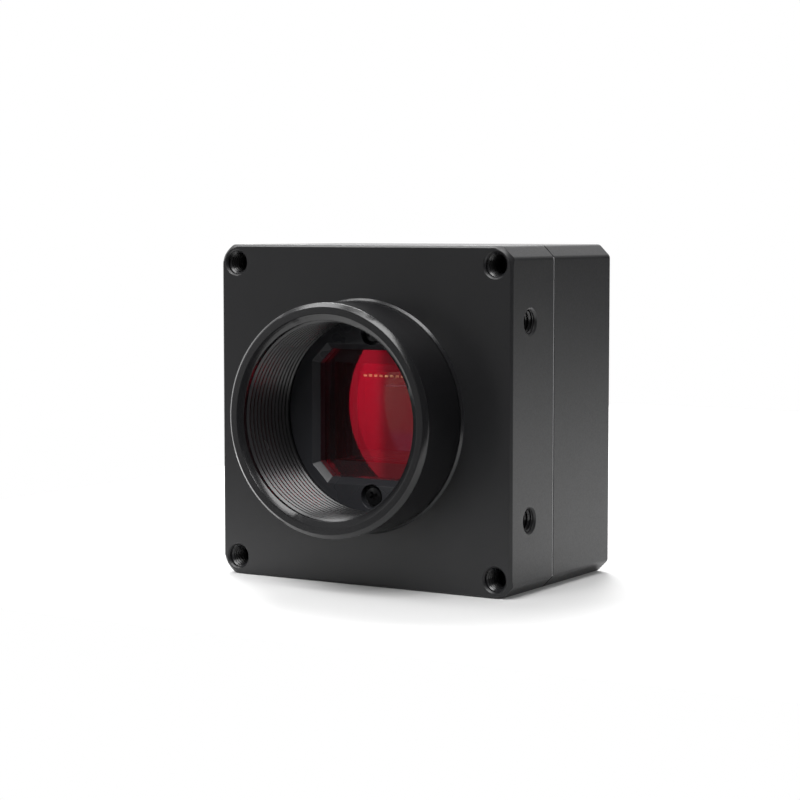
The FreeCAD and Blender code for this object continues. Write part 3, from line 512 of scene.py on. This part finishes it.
def crossScrew(name, sizes):
    # head towards +Z with its top at z = 0; a tapered cross is cut into it
    head, height, crown, shank = sizes["head"], sizes["height"], sizes["crown"], sizes["shank"]
    rounding, tip, steps = sizes["rounding"], -sizes["height"] - sizes["length"], sizes["steps"]
    midway = rounding * 0.3       # the middle of the rounded shoulder
    profile = [(0.0, 0.0), (head * sizes["domeReach"], -crown * sizes["domeDrop"]),
               (head - rounding, -crown * sizes["shoulderDrop"]),
               (head - midway, -crown - midway), (head, -crown - rounding),
               (head, -height), (shank, -height), (shank, tip), (0.0, tip)]
    shape = bmesh.new()
    rings = []
    for radius, z in profile:
        angles = [math.tau * index / steps for index in range(steps)] if radius else [0.0]
        rings.append([shape.verts.new((radius * math.cos(angle), radius * math.sin(angle), z))
                      for angle in angles])
    for upper, lower in zip(rings, rings[1:]):
        for index in range(steps):
            after = (index + 1) % steps
            if len(upper) == 1:
                shape.faces.new((upper[0], lower[index], lower[after]))
            elif len(lower) == 1:
                shape.faces.new((upper[index], lower[0], upper[after]))
            else:
                shape.faces.new((upper[index], lower[index], lower[after], upper[after]))
    screw = link(bpy.data.objects.new(name, meshFrom(shape, name)))
    cutter = link(bpy.data.objects.new(name + "Cross", taperedCross(name + "Cross", sizes)))
    cut = screw.modifiers.new("cross", "BOOLEAN")
    cut.operation = "DIFFERENCE"
    cut.object = cutter
    result = evaluatedMesh(screw, name)
    bpy.data.objects.remove(cutter)
    for polygon in result.polygons:
        polygon.use_smooth = True
    result.set_sharp_from_angle(angle=sharpFrom["screw"])
    return link(bpy.data.objects.new(name, result))


def taperedCross(name, sizes):
    # twelve-cornered outline, wide above and narrow at its foot
    shape = bmesh.new()
    rings = []
    for z, blade, span in ((sizes["above"], sizes["blade"], sizes["span"]),
                           (-sizes["depth"], sizes["bladeFoot"], sizes["spanFoot"])):
        near, far = blade / 2, span / 2
        outline = [(far, near), (near, near), (near, far), (-near, far), (-near, near),
                   (-far, near), (-far, -near), (-near, -near), (-near, -far), (near, -far),
                   (near, -near), (far, -near)]
        rings.append([shape.verts.new((x, y, z)) for x, y in outline])
    top, foot = rings
    for index in range(len(top)):
        after = (index + 1) % len(top)
        shape.faces.new((top[index], top[after], foot[after], foot[index]))
    shape.faces.new(top)
    shape.faces.new(list(reversed(foot)))
    return meshFrom(shape, name)


def padFoot(name, sizes):
    # a small block whose top is turned to face along sizes["facing"], its long side kept level
    facing = sizes["facing"]
    sideways = (Vector((1, 0, 0)) - facing * facing.x).normalized()
    upwards = facing.cross(sideways)
    shape = bmesh.new()
    bmesh.ops.create_cube(shape, size=1.0)
    for vert in shape.verts:
        vert.co = (sideways * (vert.co.x * sizes["width"]) + upwards * (vert.co.y * sizes["height"])
                   + facing * ((vert.co.z - 0.5) * sizes["depth"]))
    bmesh.ops.bevel(shape, geom=list(shape.edges), offset=sizes["edge"], segments=1, affect="EDGES")
    return link(bpy.data.objects.new(name, meshFrom(shape, name)))


def scatterTree(name, template, finish):
    # one copy of the template on every start point, its own top along the point's direction
    tree, given, result = startTree(name, {"Template": template, "Turn": 0.0, "Finish": finish})
    links = tree.links
    copied = addNode(tree, "GeometryNodeObjectInfo")
    links.new(given.outputs["Template"], copied.inputs["Object"])
    spin = addNode(tree, "FunctionNodeAxisAngleToRotation")
    links.new(given.outputs["Turn"], spin.inputs["Angle"])
    both = addNode(tree, "FunctionNodeRotateRotation", {"rotation_space": "LOCAL"})
    links.new(aimedOutwards(tree), both.inputs["Rotation"])
    links.new(spin.outputs["Rotation"], both.inputs["Rotate By"])
    spread = addNode(tree, "GeometryNodeInstanceOnPoints")
    links.new(given.outputs["Geometry"], spread.inputs["Points"])
    links.new(copied.outputs["Geometry"], spread.inputs["Instance"])
    links.new(both.outputs["Rotation"], spread.inputs["Rotation"])
    endTree(tree, spread.outputs["Instances"], given, result)
    return tree


def startPoints(name, places):
    # places are pairs of a point and the direction that it faces
    mesh = bpy.data.meshes.new(name)
    mesh.from_pydata([tuple(point) for point, facing in places], [], [])
    outward = mesh.attributes.new("outward", "FLOAT_VECTOR", "POINT")
    for index, (point, facing) in enumerate(places):
        outward.data[index].vector = facing
    return mesh


def patternPlaces(mountName):
    # hole centres of a bolt pattern, from the record
    mount = mountByName[mountName]
    axis = Vector(mount["axis"])
    units = [Vector((1, 0, 0)), Vector((0, 1, 0)), Vector((0, 0, 1))]
    across = [unit for unit in units if abs(axis.dot(unit)) < 0.5]
    spans = [mount["dims"].get(label, 0) * mm / 2 for label in ("spacing_x_mm", "spacing_y_mm")]
    centre = Vector(mount["pos_m"])
    places = []
    for first in ((-1, 1) if spans[0] else (0,)):
        for second in ((-1, 1) if spans[1] else (0,)):
            place = centre + across[0] * spans[0] * first + across[1] * spans[1] * second
            places.append((place, axis))
    return places


# the turned and milled pieces, each with the radius that its edges get
machined = {
    "frontBlock": {"node": "front_housing", "edge": 0.05 * mm,
                   "cornerBreak": {"inset": 2.4 * mm, "radius": 1.90 * mm,
                                   "turns": (24, 34, 45, 56, 66), "tolerance": 1e-8}},
    "rearShell": {"node": "rear_housing", "edge": 0.05 * mm},
    "lensRing": {"node": "lens_mount_ring", "edge": 0.045 * mm},
    "filterCap": {"node": "filter_retainer", "edge": 0.05 * mm},
    "caseScrews": {"node": "housing_screws", "edge": 0.06 * mm},
}
for pieceName, pieceSizes in machined.items():
    machinedSkin(pieceName, pieceSizes)
print("machined pieces ready:", len(machined))

# the thread of the lens ring, then the smaller ones of the tapped holes
lensThread = {"Wall Radius": 12.7 * mm, "Pitch": 25.4 * mm / 32, "Length": 10.6 * mm,
              "Start": 0.38 * mm, "Ridge": 0.29 * mm, "Crest": 0.27 * mm, "Steps": 128,
              "Fade": 0.35, "Finish": finishes["thread_black"]}
ridgeTree = threadTree(lensThread)
ringThread = grow("lensThread", ridgeTree,
                  startPoints("lensThreadStart", [(Vector((0, 0, 0)), forwards)]), lensThread)

holeThread = {"Wall Radius": 1.5 * mm, "Pitch": 0.5 * mm, "Length": 3.75 * mm, "Start": 0.16 * mm,
              "Ridge": 0.20 * mm, "Crest": 0.12 * mm, "Steps": 28, "Fade": 0.5,
              "Finish": finishes["thread_black"]}
tappedPlaces = []
for mountName in ("front_corner_holes", "right_side_holes", "left_side_holes",
                  "top_holes", "bottom_holes"):
    tappedPlaces += patternPlaces(mountName)
bodyThreads = grow("tappedThreads", ridgeTree, startPoints("tappedStart", tappedPlaces), holeThread)

lockThread = {"Wall Radius": 1.0 * mm, "Pitch": 0.4 * mm, "Length": 2.1 * mm, "Start": 0.05 * mm,
              "Ridge": 0.2 * mm, "Crest": 0.06 * mm, "Steps": 24, "Fade": 0.5,
              "Finish": finishes["thread_black"]}
lockThreads = grow("lockThreads", ridgeTree,
                   startPoints("lockStart", patternPlaces("data_lock_holes")), lockThread)
print("threads ready:", len(ringThread.data.polygons), len(bodyThreads.data.polygons))

# a low collar round the foot of the ring, with a bevel that faces outwards
collar = {"inside": 14.86 * mm, "crown": 14.93 * mm, "outside": 15.20 * mm,
          "height": 0.30 * mm, "foot": 0.02 * mm, "sunk": 0.05 * mm, "steps": 160}
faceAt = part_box("front_housing")[0][1]
collarEdge = [(collar["inside"], faceAt + collar["sunk"]), (collar["inside"], faceAt - collar["height"]),
              (collar["crown"], faceAt - collar["height"]), (collar["outside"], faceAt - collar["foot"]),
              (collar["outside"], faceAt + collar["sunk"])]
seatCollar = turned("seatCollar", collarEdge, collar["steps"])
seatCollar.data.materials.append(finishes["ring_black"])

# cross-recessed screws that hold the filter cap
capScrew = {"head": 1.29 * mm, "height": 0.60 * mm, "crown": 0.10 * mm, "shank": 0.72 * mm,
            "length": 1.2 * mm, "rounding": 0.16 * mm, "domeReach": 0.45, "domeDrop": 0.12,
            "shoulderDrop": 0.55, "blade": 0.40 * mm, "bladeFoot": 0.22 * mm, "span": 1.55 * mm,
            "spanFoot": 0.70 * mm, "depth": 0.42 * mm, "above": 0.08 * mm, "steps": 48,
            "turn": math.radians(28)}
screwLow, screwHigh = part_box("retainer_screws")
headTop, apartFromAxis = screwLow[1], screwHigh[2] - capScrew["head"]
screwTemplate = crossScrew("capScrewTemplate", capScrew)
capScrewPlaces = [(Vector((0, headTop, apartFromAxis)), forwards),
                  (Vector((0, headTop, -apartFromAxis)), forwards)]
screwTree = scatterTree("screwPlaces", screwTemplate, finishes["black_steel"])
capScrews = grow("capScrews", screwTree, startPoints("capScrewPlaces", capScrewPlaces),
                 {"Template": screwTemplate, "Turn": capScrew["turn"],
                  "Finish": finishes["black_steel"]})
bpy.data.objects.remove(screwTemplate)
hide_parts("retainer_screws")

# contact pads along the top of the sensor: small slanted feet that face a little upwards
pad = {"count": 13, "width": 0.44 * mm, "height": 0.30 * mm, "depth": 0.20 * mm, "lift": 0.11 * mm,
       "facing": Vector((0.29, -0.935, 0.203)).normalized(), "edge": 0.02 * mm}
padLow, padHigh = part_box("bond_pads")
padStep = (padHigh[0] - padLow[0] - pad["width"]) / (pad["count"] - 1)
padCentre = (padLow[2] + padHigh[2]) / 2
padRow = [(Vector((padLow[0] + pad["width"] / 2 + index * padStep, padHigh[1] - pad["lift"], padCentre)),
           Vector((0, 0, 1))) for index in range(pad["count"])]
padTemplate = padFoot("padTemplate", pad)
padTree = scatterTree("padPlaces", padTemplate, finishes["gold"])
goldPads = grow("contactPads", padTree, startPoints("padPlaces", padRow),
                {"Template": padTemplate, "Turn": 0.0, "Finish": finishes["gold"]})
bpy.data.objects.remove(padTemplate)
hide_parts("bond_pads")
print("small pieces ready:", len(capScrewPlaces), "screws,", len(padRow), "pads")

objectLow, objectHigh = cadBounds
middle = (Vector(objectLow) + Vector(objectHigh)) / 2
viewpoint = {
    "turn": math.radians(31.49),     # from the front towards the right-hand side
    "down": math.radians(4.50),
    "distance": 0.29175,
    "aim": Vector((-0.0006, -0.0002, 0.0014)),
    "lens": 98.9,
    "sensor": 36.0,
    "clip": (0.01, 20.0),
}
lookAlong = Vector((-math.sin(viewpoint["turn"]) * math.cos(viewpoint["down"]),
                    math.cos(viewpoint["turn"]) * math.cos(viewpoint["down"]),
                    -math.sin(viewpoint["down"])))
cameraData = bpy.data.cameras.new("studioCamera")
cameraData.lens = viewpoint["lens"]
cameraData.sensor_width = viewpoint["sensor"]
cameraData.clip_start, cameraData.clip_end = viewpoint["clip"]
camera = link(bpy.data.objects.new("studioCamera", cameraData))
camera.location = middle + viewpoint["aim"] - lookAlong * viewpoint["distance"]
camera.rotation_euler = lookAlong.to_track_quat("-Z", "Y").to_euler()
bpy.context.scene.camera = camera
bpy.context.scene.view_settings.view_transform = "Standard"

# a small white table; past its edges the reflections see the darker room
table = {"left": -0.10, "right": 0.26, "front": -0.028, "back": 0.29,
         "paint": 0.60, "roughness": 0.8, "glow": 0.08}
tableMesh = bpy.data.meshes.new("paleTable")
tableShape = bmesh.new()
corners = [tableShape.verts.new((x, y, objectLow[2])) for x, y in
           ((table["left"], table["front"]), (table["right"], table["front"]),
            (table["right"], table["back"]), (table["left"], table["back"]))]
tableShape.faces.new(corners)
tableShape.to_mesh(tableMesh)
tableShape.free()
tableTop = link(bpy.data.objects.new("paleTable", tableMesh))
tablePaint, _, tableShader = startMaterial("paleTablePaint", (table["paint"],) * 3,
                                           table["roughness"])
tableShader.inputs["Emission Color"].default_value = white
tableShader.inputs["Emission Strength"].default_value = table["glow"]
tableTop.data.materials.append(tablePaint)

# the room: white straight behind, and in reflections a pale wall to the left and dark elsewhere
room = {"plain": 0.10, "front": 0.13, "frontEdge": (26, 31),
        "wall": 0.72, "wallStart": (31.85, 32.10), "wallEnd": (66, 80),
        "wallLow": (-0.118, -0.045), "lowShare": 0.3, "wallHigh": (0.10, 0.40), "highShare": 0.3,
        "corner": 0.9, "cornerEdge": (104, 114),
        "back": 0.50, "backEdge": (0.0, 0.4), "backHeight": (0.15, 0.50)}
world = bpy.data.worlds.new("studio")
bpy.context.scene.world = world
world.use_nodes = True
worldTree = world.node_tree


def roomTimes(first, second):
    return mathNode(worldTree, "MULTIPLY", first, second)


def roomPlus(first, second):
    return mathNode(worldTree, "ADD", first, second)


def roomStep(source, low, high, edge):
    return rangeOf(worldTree, source, low, high, *edge)


def turnStep(low, high, edge):
    # a step at an angle from straight ahead, counted towards the left
    return roomStep(toLeft, low, high, [math.radians(angle) for angle in edge])


direction = addNode(worldTree, "ShaderNodeTexCoord")
apart = addNode(worldTree, "ShaderNodeSeparateXYZ")
worldTree.links.new(direction.outputs["Generated"], apart.inputs["Vector"])
height = apart.outputs["Z"]
toLeft = mathNode(worldTree, "ARCTAN2", roomTimes(apart.outputs["X"], -1.0),
                  roomTimes(apart.outputs["Y"], -1.0))
wall = roomTimes(turnStep(0, room["wall"], room["wallStart"]), turnStep(1, 0, room["wallEnd"]))
wall = roomTimes(wall, roomStep(height, 1, room["highShare"], room["wallHigh"]))
wall = roomTimes(wall, roomStep(height, room["lowShare"], 1, room["wallLow"]))
before = roomTimes(turnStep(0, room["front"], room["frontEdge"]), turnStep(1, 0, room["wallEnd"]))
corner = turnStep(0, room["corner"], room["cornerEdge"])
behind = roomTimes(roomStep(apart.outputs["Y"], 0, room["back"], room["backEdge"]),
                   roomStep(height, 0, 1, room["backHeight"]))
total = roomPlus(roomPlus(roomPlus(wall, before), roomPlus(corner, behind)), room["plain"])
roomLight = worldTree.nodes["Background"]
roomLight.inputs["Color"].default_value = white
worldTree.links.new(total, roomLight.inputs["Strength"])
backdrop = addNode(worldTree, "ShaderNodeBackground", Color=white)
rayKind = addNode(worldTree, "ShaderNodeLightPath")
choose = addNode(worldTree, "ShaderNodeMixShader")
worldTree.links.new(rayKind.outputs["Is Camera Ray"], choose.inputs["Fac"])
worldTree.links.new(roomLight.outputs["Background"], choose.inputs[1])
worldTree.links.new(backdrop.outputs["Background"], choose.inputs[2])
worldTree.links.new(choose.outputs["Shader"], worldTree.nodes["World Output"].inputs["Surface"])

# glow is the brightness of a lamp's face, so its power follows its size
softboxes = {
    "overheadBox": {"towards": (0.07, -0.53, 0.84), "distance": 1.1, "size": (0.70, 0.78), "glow": 8.0},
    "leftBox": {"towards": (-0.57, -0.10, 0.81), "distance": 1.1, "size": (0.48, 0.46), "glow": 6.0},
    "frontLamp": {"towards": (0.03, -0.95, 0.31), "distance": 1.0, "size": (0.10, 0.10), "glow": 22.0},
    "backBox": {"towards": (-0.35, 0.45, 0.82), "distance": 1.1, "size": (0.5, 0.5), "glow": 20.0},
}
for lampName, lampSizes in softboxes.items():
    lampData = bpy.data.lights.new(lampName, "AREA")
    lampData.shape = "RECTANGLE"
    lampData.size, lampData.size_y = lampSizes["size"]
    lampData.energy = lampSizes["glow"] * math.pi * lampSizes["size"][0] * lampSizes["size"][1]
    towards = Vector(lampSizes["towards"])
    lamp = link(bpy.data.objects.new(lampName, lampData))
    lamp.location = middle + towards.normalized() * lampSizes["distance"]
    lamp.rotation_euler = (-towards).to_track_quat("-Z", "Y").to_euler()
print("studio ready:", len(softboxes), "lamps")
